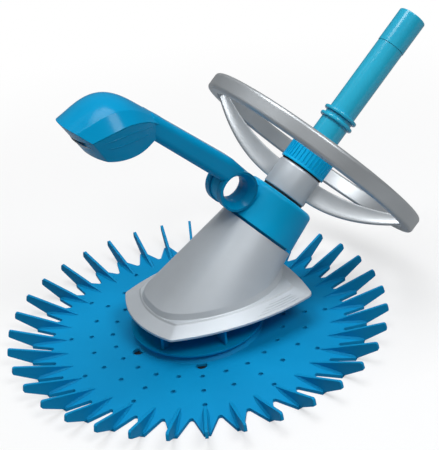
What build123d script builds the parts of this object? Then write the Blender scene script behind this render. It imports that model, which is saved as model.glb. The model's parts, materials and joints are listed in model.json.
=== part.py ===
from build123d import *
import math
import os

# Suction pool cleaner with a 36-fin sealing disc, millimetres, +Z up.
# The origin is the point of the floor under the centre of the disc. The body is
# symmetric about the XZ plane: the throat leans back towards +X and the float arm
# stands up towards -X. Stations "along" are measured up the slanted throat axis.

# ---- throat ----
THROAT_ANGLE = 41.4  # lean of the throat above the floor, degrees
THROAT_BASE_Z = 21.0  # height at which the throat axis crosses the disc axis
CUT_REACH = 500.0  # longer than anything that a cutting block trims

# ---- finned disc ----
FIN_COUNT = 36
DISC_THICK = 4.0
GAP_RADIUS = 163.5  # corner of the notches between fins, before rounding
TOOTH_RADIUS = 192.0  # end of the flat tooth of a fin
TOOTH_END_WIDTH = 7.0
NOTCH_ROUND = 2.5
BLADE_START = 150.0  # radius at which the upright blade of a fin leaves the disc
BLADE_RADIUS = 217.0
BLADE_TOP_Z = 27.0
BLADE_TIP_HEIGHT = 8.5
BLADE_THICK = 3.2
BLADE_ROUND = 2.4
DISC_RAISED_RADIUS = 66.0  # raised middle that rides over the foot pad
DISC_STEP_RADIUS = 73.0
DISC_RAISED_THICK = 3.6
DISC_CLEARANCE = 0.4
SMALL_HOLE_R = 2.3
LARGE_HOLE_R = 6.0
LONG_ROW_RADII = (99.0, 123.5, 147.0)
SHORT_ROW_RADII = (98.0, 123.5)
LARGE_HOLE_RADIUS = 80.0
LARGE_HOLE_AZIMUTHS = (65, 125, 185, 245)

# ---- foot pad and main housing ----
MOUTH_R = 38.0
FOOT_TUBE_R = 43.5
PAD_R = 62.0
PAD_HEIGHT = 8.4
PAD_LIP = 2.0
PAD_GROOVE_COUNT = 12
PAD_GROOVE_WIDTH = 6.0
PAD_GROOVE_DEPTH = 2.4
FLANGE_R = 76.0
FLANGE_THICK = 2.6
RIB_COUNT = 6
RIB_THICK = 3.0
RIB_R = 70.0
PLATE_THICK = 2.5
PLATE_INSET = 8.6
HOUSING_R = 40.0
HOUSING_WALL = 3.5
HOUSING_TOP = 151.5
LEDGE_REACH = 4.0
LEDGE_THICK = 3.0

# ---- shroud ----
SKIRT_Z = 38.5
SKIRT_LIP = 2.5
SHROUD_WALL = 3.0
STEP_Z = 47.0
STEP_INSET = 16.0
TERRACE_Z = 49.0
TERRACE_INSET = 17.5
NOSE_X = -75.0
FRONT_CORNER = (-60.0, 59.5)
SIDE_MIDDLE = (20.0, 81.5)
REAR_CORNER = (110.0, 75.0)
REAR_X = 119.0
FRONT_ROUND = 7.0
REAR_ROUND = 9.0
NECK_GAP = 3.0  # between the end of the neck and the throat cap
NECK_TOP_R = 46.0
NECK_ROUND = 22  # points round each section of the neck
NECK_MIDDLE_X = 28.0  # middle of the oval foot of the neck
NECK_FOOT = (85.0, 63.5)  # half length and half width of the foot on the terrace
NECK_CREASE_Z = 55.5
NECK_CREASE = (81.5, 60.5)  # the same at the crease above it
NECK_FULLNESS = 0.3  # makes the oval full at the nose and slim at the rear
BOSS_R = 4.5
BOSS_HEIGHT = 7.0
BOSS_PLACES = ((-45, 38), (-45, -38), (70, 60), (70, -60))
SCREW_R = 1.9
SCREW_HEAD_R = 3.8
SCREW_HEAD = 2.2
SCREW_FIT = 0.15

# ---- ballast ----
BALLAST_INNER_R = 41.5
BALLAST_OUTER_R = 50.0
BALLAST_HEIGHT = 8.0
BALLAST_SPAN = 60.0  # degrees about the disc axis

# ---- throat cap with the pivot lug ----
CAP_SEAT = 0.5  # between the end of the housing tube and the ceiling of the cap
CAP_ROOF = 13.0
CAP_HEIGHT = 46.0
CAP_BOTTOM_R = 46.0
CAP_TOP_R = 41.5
CAP_ROUND = 6.0
CAP_FIT = 0.3
PLUG_DEPTH = 10.0
PLUG_WALL = 5.0
SPIGOT_R = 21.0
SPIGOT_IN_NUT = 10.8

# ---- pipes ----
PIPE_R = 17.2
PIPE_WALL = 2.8
PIPE_FIT = 0.2
PIPE_SEAT = 1.0  # from the top of the cap to the foot of the lower pipe
LOWER_PIPE_LENGTH = 109.0
COLLAR_R = 21.0
COLLAR_THICK = 4.2
COLLAR_BELOW = 4.0  # from the lower collar's top to the swivel joint
SWIVEL_PIPE_R = 16.3
SWIVEL_BORE_R = 13.2
SWIVEL_FIT = 0.1
SPIGOT_WALL = 1.2
SWIVEL_SPIGOT = 35.0
ORING_FROM_JOINT = 17.0
ORING_R = 0.8
SWIVEL_LENGTH = 98.0  # from the swivel joint to the sleeve
SLEEVE_LENGTH = 42.5
SLEEVE_R = 16.8
SLEEVE_WALL = 1.5
PIPE_BORE_R = 11.5
INNER_PIPE_R = 14.0
INNER_PIPE_GAP = 5.0  # below the spigot of the swivel pipe
INNER_FLANGE_THICK = 3.0
STACK_GAP = 0.3  # between the parts stacked inside the throat
SEAL_THICK = 2.1

# ---- diaphragm ----
DIAPHRAGM_LENGTH = 62.0
DIAPHRAGM_R = 29.8
DIAPHRAGM_WALL = 2.6
DIAPHRAGM_COLLAR = 9.0
DIAPHRAGM_FLAT = 9.0

# ---- deflector wheel ----
HUB_HEIGHT = 33.5
HUB_R = 27.0
HUB_ROUND = 3.0
BUSH_WALL = 2.0
BUSH_FIT = 0.1
WASHER_GAP = 0.3
LOWER_WASHER_THICK = 2.7
UPPER_WASHER_THICK = 1.2
RIM_R = 141.5
RIM_INNER_R = 127.0
RIM_INNER_TOP_R = 130.0
RIM_ABOVE_HUB = 12.5  # from the top of the hub to the lower side of the rim
RIM_HEIGHT = 19.7
RIM_ROUND = 4.0
SPOKE_LOW_SAG = 9.6
SPOKE_HIGH_SAG = 6.2
SPOKE_LOW_ROOT = 6.0  # above the lower end of the hub
SPOKE_HIGH_ROOT = 3.5  # below the upper end of the hub
SPOKE_END_DROP = 6.7  # below the upper side of the rim
YOKE_ANGLE = 40.0  # rest angle of the wheel about the throat
YOKE_THICK = 4.0
YOKE_EDGE_WIDTH = 8.0
YOKE_EDGE_THICK = 3.0
TAB_DEPTH = 5.0
TAB_HEIGHT = 7.0
TAB_FIT = 0.15

# ---- hand nut ----
NUT_GAP = 0.2
NUT_HEIGHT = 30.8
NUT_CEILING = 5.5  # from the top of the nut down to the top of the grip ring
NUT_R = 26.6
NUT_LIP_R = 28.0
NUT_LIP = 3.0
NUT_RIB_COUNT = 36
NUT_RIB_WIDTH = 1.9
NUT_RIB_HEIGHT = 1.1
NUT_FIT = 0.3
GRIP_TOP_R = 19.0

# ---- float arm and pod ----
HINGE_ABOVE_CAP_EDGE = 20.0
HINGE_OUT = 65.7
CHEEK_R = 23.2
CLEVIS_WIDTH = 36.0
LUG_R = 21.5
LUG_WIDTH = 17.0
LUG_FIT = 0.4
CHEEK_FIT = 0.6  # gap between a cheek and its pocket in the throat cap
PIVOT_R = 17.0
PIVOT_FIT = 0.1
PIVOT_WAIST_R = 14.0
PIVOT_MOUTH_R = 20.4
PIVOT_FLANGE_R = 21.8
PIVOT_NECK_R = 15.4
PIVOT_CONE_START = 10.0  # from the middle of the hinge to where the pivot widens
PIVOT_FLANGE_THICK = 2.0
ARM_ANGLE = 44.0
ARM_LENGTH = 140.0
ARM_HEIGHT = 26.5
ARM_END_HEIGHT = 23.0
ARM_WIDTH = 37.0
ARM_ROUND = 8.0
ARM_WALL = 3.0
ARM_ROOT = 26.0  # from the hinge to where the arm has its full height
ARM_CORE_START = 34.0  # the hollow of the arm begins here, clear of the pivot
POD_WALL = 2.6
POD_SEAM = 0.3
FOAM_GAP = 1.4
FOAM_START = -62.0  # from the end of the arm
FOAM_END = -12.0
POD_SLOT_HALF = 32.0
POD_SLOT_HEIGHT = 4.5
POD_SLOT_DEPTH = 18.0
POD_BOSS_R = 3.6
POD_HEAD_DEPTH = 1.0
# stations of the pod, from the lower end of the arm: x, half width, height of the seam,
# height of the crown, half width of the flat under side, height of the under side; the
# last one lies inside the arm
POD_STATIONS = (
    (-84, 35, 8, 26, 30, 2),
    (-60, 40, 15.5, 37.5, 34, -5.5),
    (-42, 43, 20.5, 44.5, 35, -14.5),
    (-20, 41, 23, 43.5, 33, -17.5),
    (-2, 32, 18, 32.5, 26, -15.5),
    (14, 20.5, 9, 18.5, 17, -10.5),
    (32, 18, -4.5, 1.5, 14, -16.5),
)
POD_LOWER_END = 13.0  # from the end of the arm
POD_NOSE = -77.0  # foremost point of the crown, from the end of the arm
POD_NOSE_RADIUS = 92.0  # bow of the nose seen from above
POD_NOSE_UNDERCUT = 30.0  # degrees by which the front leans back below the crown
POD_BOSS_STATIONS = (2, 3)  # a screw stands at each of these stations

tilt = math.radians(THROAT_ANGLE)
throat_dir = Vector(math.cos(tilt), 0, math.sin(tilt))
throat_up = Vector(-math.sin(tilt), 0, math.cos(tilt))
throat = Plane(origin=(0, 0, THROAT_BASE_Z), x_dir=throat_up, z_dir=throat_dir)
plate_top = SKIRT_Z + PLATE_THICK
housing_bore_r = HOUSING_R - HOUSING_WALL

# ---- stations along the throat, each standing on the one below ----
cap_ceiling = HOUSING_TOP + CAP_SEAT
cap_top = cap_ceiling + CAP_ROOF
cap_bottom = cap_top - CAP_HEIGHT
neck_top = cap_bottom - NECK_GAP
plug_bottom = cap_ceiling - PLUG_DEPTH
diaphragm_end = plug_bottom - SEAL_THICK - INNER_FLANGE_THICK - 3 * STACK_GAP
diaphragm_start = diaphragm_end - DIAPHRAGM_LENGTH
pipe_foot = cap_top + PIPE_SEAT
swivel_joint = pipe_foot + LOWER_PIPE_LENGTH
inner_pipe_top = swivel_joint - SWIVEL_SPIGOT - INNER_PIPE_GAP
sleeve_start = swivel_joint + SWIVEL_LENGTH
sleeve_end = sleeve_start + SLEEVE_LENGTH
hub_bottom = cap_top + LOWER_WASHER_THICK + WASHER_GAP
hub_top = hub_bottom + HUB_HEIGHT
rim_bottom = hub_top + RIM_ABOVE_HUB
rim_top = rim_bottom + RIM_HEIGHT
nut_bottom = hub_top + WASHER_GAP + UPPER_WASHER_THICK + NUT_GAP
nut_top = nut_bottom + NUT_HEIGHT
spigot_top = nut_bottom + SPIGOT_IN_NUT
grip_top = nut_top - NUT_CEILING

# ---- hinge, arm and pod ----
hinge_along = cap_bottom + HINGE_ABOVE_CAP_EDGE
hinge = throat.origin + throat_dir * hinge_along + throat_up * HINGE_OUT
arm_tilt = math.radians(ARM_ANGLE)
arm_dir = Vector(-math.cos(arm_tilt), 0, math.sin(arm_tilt))
arm_up = Vector(math.sin(arm_tilt), 0, math.cos(arm_tilt))
arm_end = hinge + arm_dir * ARM_LENGTH
pod_stations = [
    (arm_end.X + x, half, arm_end.Z + seam, arm_end.Z + crown, under_half, arm_end.Z + under)
    for x, half, seam, crown, under_half, under in POD_STATIONS
]
pod_boss_places = [(pod_stations[k][0], pod_stations[k][5]) for k in POD_BOSS_STATIONS]


def turned(outline, plane=Plane.XY, rounds=None):
    """Solid of revolution of a closed outline of (radius, height) points."""
    face = make_face(Polyline([(r, 0, z) for r, z in outline], close=True))
    for index, radius in (rounds or {}).items():
        r, z = outline[index]
        corner = face.vertices().sort_by_distance((r, 0, z))[0]
        face = fillet(corner, radius)
    return plane.location * revolve(face, Axis.Z)


def tube(outer, inner, start, end, plane=Plane.XY):
    return turned([(inner, start), (outer, start), (outer, end), (inner, end)], plane)


def polar(radius, degrees):
    angle = math.radians(degrees)
    return (radius * math.cos(angle), radius * math.sin(angle))


def spun(part, count, start=0.0):
    """Copies of a part at equal steps about the Z axis."""
    return [Rot(0, 0, start + 360 / count * k) * part for k in range(count)]


def over(z):
    """All the space above a height."""
    return Pos(0, 0, z + CUT_REACH / 2) * Box(2 * CUT_REACH, 2 * CUT_REACH, CUT_REACH)


def save(node, part):
    solids = part.solids()
    export_step(solids[0] if len(solids) == 1 else Compound(solids), f"parts/{node}.step")


# ---- finned disc: flat star of teeth, upright blades and raised middle ----
def fin_blade():
    tip_low = BLADE_TOP_Z - BLADE_TIP_HEIGHT
    outline = [
        (BLADE_START, DISC_THICK),
        (BLADE_RADIUS - 2, BLADE_TOP_Z),
        (BLADE_RADIUS, tip_low),
        (TOOTH_RADIUS, DISC_THICK / 2),
        (BLADE_START, DISC_THICK / 2),
    ]
    face = make_face(Polyline([(r, 0, z) for r, z in outline], close=True))
    tips = face.vertices().sort_by(Axis.X)[-2:]
    face = fillet(tips, BLADE_ROUND)
    return extrude(face, BLADE_THICK / 2, dir=(0, 1, 0), both=True)


def fin_star():
    pitch = 360 / FIN_COUNT
    half_end = math.degrees(TOOTH_END_WIDTH / 2 / TOOTH_RADIUS)
    points = []
    for k in range(FIN_COUNT):
        middle = pitch * (k + 0.5)
        points.append(polar(GAP_RADIUS, pitch * k))
        points.append(polar(TOOTH_RADIUS, middle - half_end))
        points.append(polar(TOOTH_RADIUS, middle + half_end))
    star = make_face(Polyline(points, close=True))
    roots = [v for v in star.vertices() if math.hypot(v.X, v.Y) < GAP_RADIUS + 1]
    return fillet(roots, NOTCH_ROUND)


def finned_disc():
    raised_z = PAD_HEIGHT + DISC_CLEARANCE
    bore = FOOT_TUBE_R + DISC_CLEARANCE
    star = fin_star() - Circle(DISC_STEP_RADIUS + DISC_THICK)
    for k in range(12):
        rows = SHORT_ROW_RADII if k % 2 else LONG_ROW_RADII
        azimuth = 5 + 15 * k
        for half in (0, 180):
            star -= [Pos(*polar(r, azimuth + half)) * Circle(SMALL_HOLE_R) for r in rows]
    star -= [Pos(*polar(LARGE_HOLE_RADIUS, a)) * Circle(LARGE_HOLE_R) for a in LARGE_HOLE_AZIMUTHS]
    middle = turned(
        [
            (bore, raised_z),
            (DISC_RAISED_RADIUS, raised_z),
            (DISC_STEP_RADIUS, 0),
            (DISC_STEP_RADIUS + DISC_THICK, 0),
            (DISC_STEP_RADIUS + DISC_THICK, DISC_THICK),
            (DISC_STEP_RADIUS + DISC_THICK / 2, DISC_THICK),
            (DISC_RAISED_RADIUS + DISC_THICK / 2, raised_z + DISC_RAISED_THICK),
            (bore, raised_z + DISC_RAISED_THICK),
        ]
    )
    half_pitch = 180 / FIN_COUNT
    return extrude(star, DISC_THICK) + middle + spun(fin_blade(), FIN_COUNT, half_pitch)


# ---- foot pad: wear ring under the disc, with water grooves ----
def foot_pad():
    pad = turned(
        [
            (MOUTH_R, 0),
            (PAD_R, 0),
            (PAD_R, PAD_HEIGHT),
            (FOOT_TUBE_R, PAD_HEIGHT),
            (FOOT_TUBE_R, PAD_LIP),
            (MOUTH_R, PAD_LIP),
        ],
        rounds={1: 1.5, 2: 1.0},
    )
    groove = Pos(PAD_R, 0, 0) * Box(2 * (PAD_R - FOOT_TUBE_R - 2), PAD_GROOVE_WIDTH, 2 * PAD_GROOVE_DEPTH)
    return pad - spun(groove, PAD_GROOVE_COUNT)


# ---- shroud outline: a shield with a bowed nose and bowed sides ----
def shield(inset, z):
    nose = (NOSE_X + inset, 0)
    front = (FRONT_CORNER[0] + 0.8 * inset, FRONT_CORNER[1] - 0.8 * inset)
    side = (SIDE_MIDDLE[0], SIDE_MIDDLE[1] - inset)
    rear = (REAR_CORNER[0] - 0.9 * inset, REAR_CORNER[1] - 0.95 * inset)
    back = (REAR_X - inset, 0)
    face = make_face(
        [
            ThreePointArc((front[0], -front[1]), nose, front),
            ThreePointArc(front, side, rear),
            ThreePointArc(rear, back, (rear[0], -rear[1])),
            ThreePointArc((rear[0], -rear[1]), (side[0], -side[1]), (front[0], -front[1])),
        ]
    )
    corners = face.vertices().sort_by(Axis.X)
    face = fillet(corners[:2], FRONT_ROUND)
    corners = [v for v in face.vertices() if abs(v.X - rear[0]) < 0.01]
    face = fillet(corners, REAR_ROUND)
    return Pos(0, 0, z) * face


def neck_section(half, z, share, wall):
    """Section of the neck: a level oval at share 0, the round end of the neck at share 1."""
    end = throat.origin + throat_dir * (neck_top - wall)
    end_r = NECK_TOP_R - wall
    points = []
    for k in range(NECK_ROUND):
        angle = 2 * math.pi * k / NECK_ROUND
        along, across = math.cos(angle), math.sin(angle)
        bulge = math.copysign(abs(across) ** (1 + NECK_FULLNESS * along), across)
        low = Vector(NECK_MIDDLE_X + (half[0] - wall) * along, (half[1] - wall) * bulge, z)
        high = end - throat_up * (end_r * along) + Vector(0, end_r * across, 0)
        points.append(low * (1 - share) + high * share)
    return make_face(Spline(points, periodic=True))


def neck(wall):
    """Flared foot on the terrace and the body that runs up to a round end."""
    foot = neck_section(NECK_FOOT, TERRACE_Z - 1 - wall, 0, wall)
    body = [neck_section(NECK_CREASE, NECK_CREASE_Z - wall, share, wall) for share in (0, 0.5, 1)]
    return loft([foot, body[0]], ruled=True) + loft(body)


def skirt_levels(wall):
    """Outline of the skirt at each change of slope, from its lower edge to the terrace."""
    lip_z = SKIRT_Z + SKIRT_LIP
    lip = [shield(wall, SKIRT_Z), shield(wall, lip_z - wall / 2)]
    upper = [shield(STEP_INSET + wall, STEP_Z - wall), shield(TERRACE_INSET + wall, TERRACE_Z - wall)]
    return lip + upper


def body_shroud():
    shroud = loft(skirt_levels(0), ruled=True) + neck(0)
    shroud -= loft(skirt_levels(SHROUD_WALL), ruled=True)
    shroud -= neck(SHROUD_WALL)
    shroud -= throat.location * Pos(0, 0, neck_top) * Cylinder(HOUSING_R + CAP_FIT, 20)
    for x, y in BOSS_PLACES:
        shroud += Pos(x, y, plate_top + BOSS_HEIGHT / 2) * Cylinder(BOSS_R, BOSS_HEIGHT)
        shroud -= Pos(x, y, plate_top) * Cylinder(SCREW_R + SCREW_FIT, 2 * BOSS_HEIGHT - 1)
    return shroud


# ---- main housing: foot tube, flange, ribs, plate and slanted tube ----
def main_housing():
    flange_z = PAD_HEIGHT + DISC_RAISED_THICK + 2 * DISC_CLEARANCE
    shell = Pos(0, 0, (PAD_LIP + plate_top) / 2) * Cylinder(FOOT_TUBE_R, plate_top - PAD_LIP)
    shell += Pos(0, 0, flange_z + FLANGE_THICK / 2) * Cylinder(FLANGE_R, FLANGE_THICK)
    rib_height = SKIRT_Z - flange_z
    rib = Pos(RIB_R / 2, 0, flange_z + rib_height / 2) * Box(RIB_R, RIB_THICK, rib_height)
    shell += spun(rib, RIB_COUNT, 30)
    shell += extrude(shield(PLATE_INSET, SKIRT_Z), PLATE_THICK)
    slant = throat.location * Pos(0, 0, (HOUSING_TOP - 40) / 2) * Cylinder(HOUSING_R, HOUSING_TOP + 40)
    shell += slant & over(SKIRT_Z)
    flow = Pos(0, 0, (PAD_LIP + plate_top) / 2) * Cylinder(MOUTH_R, plate_top - PAD_LIP)
    bore = throat.location * Pos(0, 0, HOUSING_TOP / 2) * Cylinder(housing_bore_r, HOUSING_TOP + 1)
    shell -= flow
    shell -= bore & over(plate_top)
    ledge_start = diaphragm_start - LEDGE_THICK
    shell += tube(housing_bore_r + 1, housing_bore_r - LEDGE_REACH, ledge_start, diaphragm_start, throat)
    for x, y in BOSS_PLACES:
        shell -= Pos(x, y, SKIRT_Z) * Cylinder(SCREW_R + SCREW_FIT, 3 * PLATE_THICK)
    return shell


def shroud_screws():
    screw = Pos(0, 0, SKIRT_Z - SCREW_HEAD / 2) * Cylinder(SCREW_HEAD_R, SCREW_HEAD)
    shank = PLATE_THICK + BOSS_HEIGHT - 1
    screw += Pos(0, 0, SKIRT_Z + shank / 2) * Cylinder(SCREW_R, shank)
    return Compound([Pos(x, y, 0) * screw for x, y in BOSS_PLACES])


def ballast_weight():
    ring = tube(BALLAST_OUTER_R, BALLAST_INNER_R, plate_top, plate_top + BALLAST_HEIGHT)
    half = BALLAST_SPAN / 2
    ends = [polar(2 * BALLAST_OUTER_R, 180 - half), polar(2 * BALLAST_OUTER_R, 180 + half)]
    wedge = make_face(Polyline([(0, 0), *ends], close=True))
    return ring & Pos(0, 0, plate_top) * extrude(wedge, BALLAST_HEIGHT)


# ---- diaphragm: round collars and a flattened middle ----
def oval_section(along, half_flat, half_wide):
    plane = Plane(origin=throat.origin + throat_dir * along, x_dir=(0, 1, 0), z_dir=throat_dir)
    return plane * Ellipse(half_wide, half_flat)


def diaphragm():
    low = diaphragm_start + STACK_GAP
    neck_low = low + DIAPHRAGM_COLLAR
    neck_high = diaphragm_end - DIAPHRAGM_COLLAR
    middle = (neck_low + neck_high) / 2
    layers = []
    for radius in (DIAPHRAGM_R, DIAPHRAGM_R - DIAPHRAGM_WALL):
        flat = DIAPHRAGM_FLAT + radius - DIAPHRAGM_R
        throttle = loft(
            [
                oval_section(neck_low, radius - 0.02, radius),
                oval_section(middle, flat, radius),
                oval_section(neck_high, radius - 0.02, radius),
            ]
        )
        for start in (low, neck_high):
            throttle += extrude(oval_section(start, radius - 0.02, radius), DIAPHRAGM_COLLAR, dir=throat_dir)
        layers.append(throttle)
    return layers[0] - layers[1]


def retaining_ring(start):
    return tube(housing_bore_r - PIPE_FIT, DIAPHRAGM_R + STACK_GAP, start, start + DIAPHRAGM_COLLAR, throat)


# ---- throat cap: band, ceiling, plug, wheel spigot and pivot lug ----
def throat_cap():
    outer = HOUSING_R + CAP_FIT
    cap = turned(
        [
            (outer, cap_bottom),
            (CAP_BOTTOM_R, cap_bottom),
            (CAP_TOP_R, cap_top),
            (SPIGOT_R, cap_top),
            (SPIGOT_R, spigot_top),
            (PIPE_R + PIPE_FIT, spigot_top),
            (PIPE_R + PIPE_FIT, pipe_foot),
            (INNER_PIPE_R + PIPE_FIT, pipe_foot),
            (INNER_PIPE_R + PIPE_FIT, cap_ceiling),
            (housing_bore_r - CAP_FIT - PLUG_WALL, cap_ceiling),
            (housing_bore_r - CAP_FIT - PLUG_WALL, plug_bottom),
            (housing_bore_r - CAP_FIT, plug_bottom),
            (housing_bore_r - CAP_FIT, cap_ceiling),
            (outer, cap_ceiling),
        ],
        throat,
        rounds={2: CAP_ROUND},
    )
    lug_plane = Plane(origin=hinge, x_dir=throat_up, z_dir=(0, -1, 0))
    lug = Cylinder(LUG_R, LUG_WIDTH)
    root_start = HINGE_OUT - CAP_TOP_R + 1
    lug += Pos(-root_start / 2, 0, 0) * Box(root_start, 2 * LUG_R - 6, LUG_WIDTH)
    lug = lug_plane.location * lug
    keep_out = throat.location * Pos(0, 0, hinge_along) * Cylinder(CAP_TOP_R - 1, 3 * LUG_R)
    cap -= hinge_disc(CHEEK_R + CHEEK_FIT, CLEVIS_WIDTH + 2 * CHEEK_FIT)
    cap += lug - keep_out
    return cap - lug_plane.location * Cylinder(PIVOT_R + PIVOT_FIT, 2 * LUG_WIDTH)


def cap_seal():
    inner = housing_bore_r - CAP_FIT - PLUG_WALL
    top = plug_bottom - STACK_GAP
    return tube(housing_bore_r - CAP_FIT, inner, top - SEAL_THICK, top, throat)


def inner_pipe():
    start = diaphragm_end + STACK_GAP
    flange_top = start + INNER_FLANGE_THICK
    return turned(
        [
            (PIPE_BORE_R, start),
            (housing_bore_r - PIPE_FIT, start),
            (housing_bore_r - PIPE_FIT, flange_top),
            (INNER_PIPE_R, flange_top),
            (INNER_PIPE_R, inner_pipe_top),
            (PIPE_BORE_R, inner_pipe_top),
        ],
        throat,
    )



# ---- pipes above the cap ----
def lower_pipe():
    collar_top = swivel_joint - COLLAR_BELOW
    bore = PIPE_R - PIPE_WALL
    return turned(
        [
            (bore, pipe_foot),
            (PIPE_R, pipe_foot),
            (PIPE_R, collar_top - COLLAR_THICK),
            (COLLAR_R, collar_top - COLLAR_THICK),
            (COLLAR_R, collar_top),
            (PIPE_R, collar_top),
            (PIPE_R, swivel_joint),
            (bore, swivel_joint),
        ],
        throat,
        rounds={3: 1.6, 4: 1.6},
    )


def swivel_pipe():
    start = swivel_joint + STACK_GAP
    spigot_r = PIPE_R - PIPE_WALL - SWIVEL_FIT
    groove_z = swivel_joint - ORING_FROM_JOINT
    groove_r = spigot_r - 2 * ORING_R - 0.1
    spigot_bore = groove_r - SPIGOT_WALL
    sleeve_bore = SLEEVE_R - SLEEVE_WALL - SWIVEL_FIT
    return turned(
        [
            (spigot_bore, swivel_joint - SWIVEL_SPIGOT),
            (spigot_r, swivel_joint - SWIVEL_SPIGOT),
            (spigot_r, groove_z - 1.4 * ORING_R),
            (groove_r, groove_z - 1.4 * ORING_R),
            (groove_r, groove_z + 1.4 * ORING_R),
            (spigot_r, groove_z + 1.4 * ORING_R),
            (spigot_r, start),
            (COLLAR_R, start),
            (COLLAR_R, start + COLLAR_THICK),
            (SWIVEL_PIPE_R, start + COLLAR_THICK),
            (SWIVEL_PIPE_R, sleeve_start),
            (sleeve_bore, sleeve_start),
            (sleeve_bore, sleeve_end - 4),
            (SWIVEL_BORE_R, sleeve_end - 4),
            (SWIVEL_BORE_R, start),
        ],
        throat,
        rounds={7: 1.6, 8: 1.6},
    )


def swivel_o_ring():
    groove_z = swivel_joint - ORING_FROM_JOINT
    centre_r = PIPE_R - PIPE_WALL - SWIVEL_FIT - ORING_R
    return throat.location * Pos(0, 0, groove_z) * Torus(centre_r, ORING_R - 0.05)


def hose_sleeve():
    bore = SLEEVE_R - SLEEVE_WALL
    return turned(
        [
            (bore, sleeve_start + STACK_GAP),
            (SLEEVE_R, sleeve_start + STACK_GAP),
            (SLEEVE_R, sleeve_end),
            (bore - 1, sleeve_end),
            (bore - 1, sleeve_end - 3),
            (bore, sleeve_end - 3.6),
        ],
        throat,
        rounds={2: 1.4},
    )


# ---- hand nut and the split cone that grips the lower pipe ----
def hand_nut():
    bore = SPIGOT_R + NUT_FIT
    nut = turned(
        [
            (bore, nut_bottom),
            (NUT_LIP_R, nut_bottom),
            (NUT_LIP_R, nut_bottom + NUT_LIP),
            (NUT_R, nut_bottom + NUT_LIP),
            (NUT_R, nut_top),
            (PIPE_R + NUT_FIT, nut_top),
            (PIPE_R + NUT_FIT, grip_top + 2 * NUT_FIT),
            (GRIP_TOP_R + NUT_FIT, grip_top + 2 * NUT_FIT),
            (bore, spigot_top),
        ],
        rounds={2: 1.0, 4: 1.5},
    )
    rib_length = nut_top - nut_bottom - NUT_LIP - 2
    rib_middle = nut_bottom + NUT_LIP + rib_length / 2
    rib = Pos(NUT_R, 0, rib_middle) * Box(2 * NUT_RIB_HEIGHT, NUT_RIB_WIDTH, rib_length)
    return throat.location * (nut + spun(rib, NUT_RIB_COUNT))


def grip_ring():
    bottom = spigot_top + STACK_GAP
    ring = turned(
        [
            (PIPE_R + 0.05, bottom),
            (SPIGOT_R - NUT_FIT, bottom),
            (GRIP_TOP_R - NUT_FIT, grip_top),
            (PIPE_R + 0.05, grip_top),
        ]
    )
    split = Pos(PIPE_R, 0, (bottom + grip_top) / 2) * Box(12, 2, grip_top)
    return throat.location * (ring - split)


# ---- deflector wheel ----
def wheel_washer(start, thick):
    return tube(HUB_R - 1, SPIGOT_R + BUSH_FIT, start, start + thick, throat)


def wheel_bush():
    return tube(SPIGOT_R + BUSH_FIT + BUSH_WALL, SPIGOT_R + BUSH_FIT, hub_bottom, hub_top, throat)


def yoke_tab(clearance):
    """Tab at the end of a spoke, seated in a pocket of the rim."""
    height = TAB_HEIGHT + 2 * clearance
    depth = TAB_DEPTH + clearance
    width = YOKE_EDGE_WIDTH - 2 + 2 * clearance
    middle = (rim_top + rim_bottom) / 2 - 2
    return Pos(RIM_INNER_R + depth / 2 - 1, 0, middle) * Box(depth + 2, width, height)


def wheel_rim():
    rim = turned(
        [
            (RIM_INNER_R, rim_bottom),
            (RIM_R, rim_bottom),
            (RIM_R, rim_top),
            (RIM_INNER_TOP_R, rim_top),
        ],
        rounds={0: 2.0, 1: RIM_ROUND, 2: RIM_ROUND, 3: 3.0},
    )
    return throat.location * (rim - spun(yoke_tab(TAB_FIT), 2, YOKE_ANGLE + 90))


def crescent(out, back):
    """Upright face between an arc running outwards and an arc coming back."""
    out = [(r, 0, z) for r, z in out]
    back = [(r, 0, z) for r, z in back]
    edges = [ThreePointArc(*out), Line(out[-1], back[0]), ThreePointArc(*back), Line(back[-1], out[0])]
    return make_face(edges)


def sagging(start, finish, sag):
    """Start, middle and finish of an arc whose middle lies below its chord."""
    return [start, ((start[0] + finish[0]) / 2, (start[1] + finish[1]) / 2 - sag), finish]


def wheel_spoke():
    """Crescent blade from the hub to the rim with a thick outer edge."""
    root = HUB_R - 2
    end = RIM_INNER_R - 0.2
    low = sagging((root, hub_bottom + SPOKE_LOW_ROOT), (end, rim_bottom + 0.5), SPOKE_LOW_SAG)
    high = sagging((end, rim_top - SPOKE_END_DROP), (root, hub_top - SPOKE_HIGH_ROOT), SPOKE_HIGH_SAG)
    web_low = [(r, z + YOKE_EDGE_THICK / 2) for r, z in low]
    edge_high = [(r, z + YOKE_EDGE_THICK) for r, z in reversed(low)]
    blade = extrude(crescent(web_low, high), YOKE_THICK / 2, dir=(0, 1, 0), both=True)
    edge = extrude(crescent(low, edge_high), YOKE_EDGE_WIDTH / 2, dir=(0, 1, 0), both=True)
    return blade + edge + yoke_tab(0)


def wheel_yoke():
    bore = SPIGOT_R + BUSH_FIT + BUSH_WALL
    hub = turned(
        [(bore, hub_bottom), (HUB_R, hub_bottom), (HUB_R, hub_top), (bore, hub_top)],
        rounds={1: 0.8, 2: HUB_ROUND},
    )
    return throat.location * (hub + spun(wheel_spoke(), 2, YOKE_ANGLE + 90))


# ---- float arm: clevis, hollow arm and upper shell of the pod in one moulding ----
def arm_section(along, height, width, inset=0.0):
    centre = hinge + arm_dir * along + arm_up * (height / 2)
    plane = Plane(origin=centre, x_dir=(0, 1, 0), z_dir=arm_dir)
    return plane * RectangleRounded(width - 2 * inset, height - 2 * inset, ARM_ROUND - inset)


def arm_beam(inset, start, end):
    return loft(
        [
            arm_section(start, ARM_HEIGHT, CLEVIS_WIDTH, inset),
            arm_section(end, ARM_END_HEIGHT, ARM_WIDTH, inset),
        ],
        ruled=True,
    )


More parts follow.
